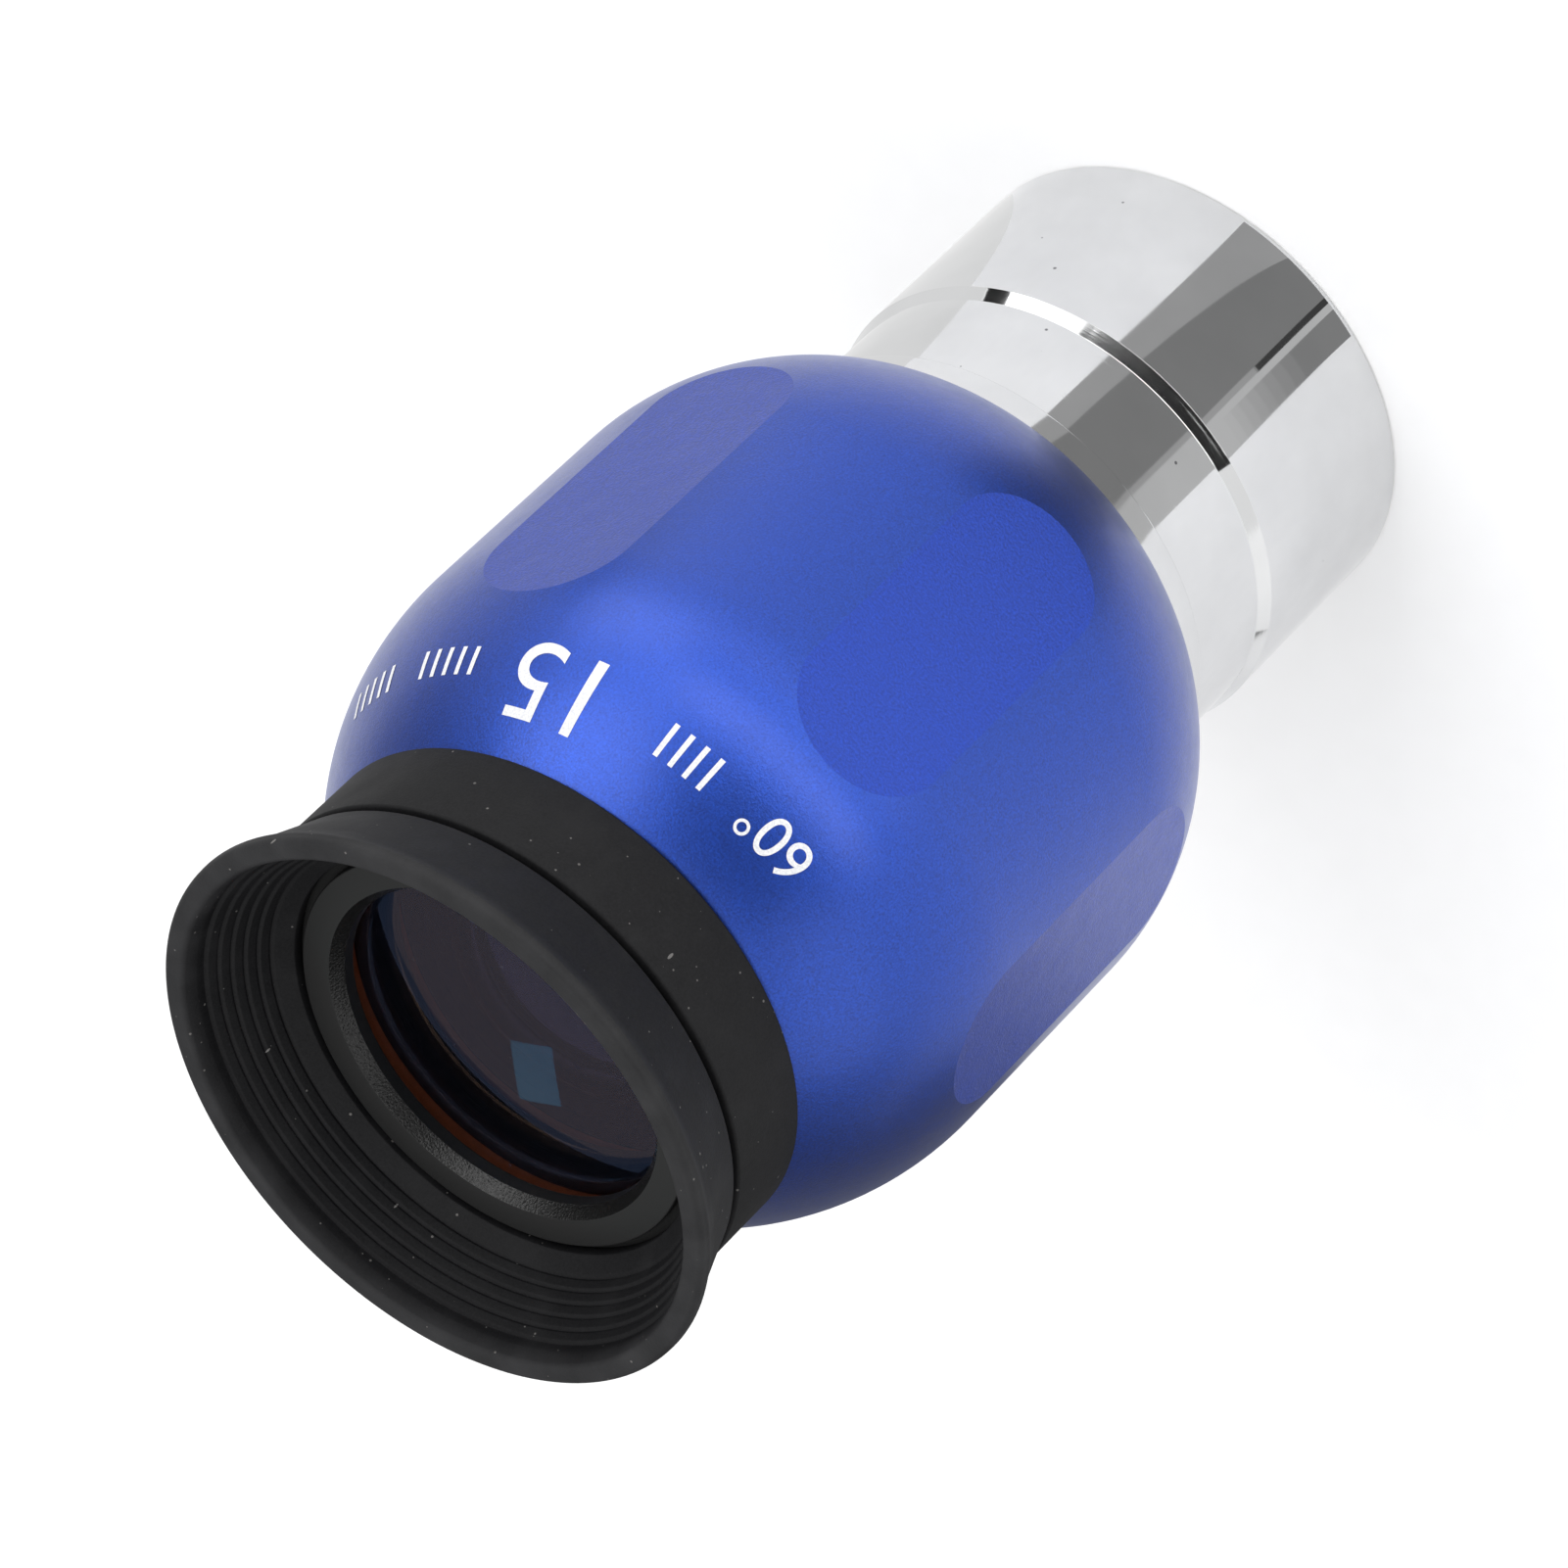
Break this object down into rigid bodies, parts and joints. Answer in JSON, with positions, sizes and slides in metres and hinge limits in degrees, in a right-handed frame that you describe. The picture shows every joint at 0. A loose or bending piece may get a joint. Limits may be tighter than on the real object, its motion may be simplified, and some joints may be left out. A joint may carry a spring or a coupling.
{
  "type": "telescope eyepiece",
  "caption": "Telescope eyepiece with a round-shouldered anodised body, a chromed push-fit barrel and a fold-down rubber eyecup around a large eye lens.",
  "frame": {"origin": "centre of the barrel's open end face, on the optical axis", "axes": "+Z along the optical axis towards the eye; -Y through the middle of a grip flat"},
  "size_m": [0.044, 0.0428, 0.078],
  "materials": {
    "anodised_body": "bead blasted, satin blue anodised",
    "chrome_plate": "mirror chrome plate",
    "black_metal": "satin black anodised",
    "eyecup_rubber": "matte moulded rubber",
    "coated_glass": "polished, violet anti-reflection coating",
    "inner_glass": "polished, green anti-reflection coating"
  },
  "bodies": {
    "barrel": {"barrel": "chrome_plate", "field_lens_cell": "black_metal", "field_flint": "inner_glass", "field_crown": "inner_glass", "field_lens_retaining_ring": "black_metal"},
    "lens_stack": {"lens_cell": "black_metal", "eye_lens": "coated_glass", "upper_spacer": "black_metal", "doublet_crown": "inner_glass", "doublet_flint": "inner_glass", "lower_spacer": "black_metal", "middle_lens": "inner_glass", "field_stop": "black_metal", "field_stop_ring": "black_metal"},
    "body": {"body_shell": "anodised_body", "eye_lens_retaining_ring": "black_metal"},
    "eyecup": {"eyecup_sleeve": "eyecup_rubber", "eyecup_skirt": "eyecup_rubber"},
    "eyecup_lip": {"eyecup_rim": "eyecup_rubber"}
  },
  "joints": [
    {"name": "body_travel", "type": "slide", "parent": "barrel", "child": "lens_stack", "axis": [0, 0, 1], "range_m": [0, 0.003]},
    {"name": "body_unscrew", "type": "hinge", "parent": "lens_stack", "child": "body", "pos_m": [0, 0, 0.027], "axis": [0, 0, 1], "range_deg": [0, 1440]},
    {"name": "eyecup_turn", "type": "hinge", "parent": "body", "child": "eyecup", "pos_m": [0, 0, 0.069], "axis": [0, 0, 1], "continuous": true},
    {"name": "eyecup_press", "type": "slide", "parent": "eyecup", "child": "eyecup_lip", "axis": [0, 0, 1], "range_m": [-0.003, 0], "stiffness_N_per_m": 300, "deforming": ["eyecup_skirt"]}
  ],
  "couplings": [
    {"joint": "body_travel", "follows": "body_unscrew", "m_per_rad": 0.00011936}
  ]
}
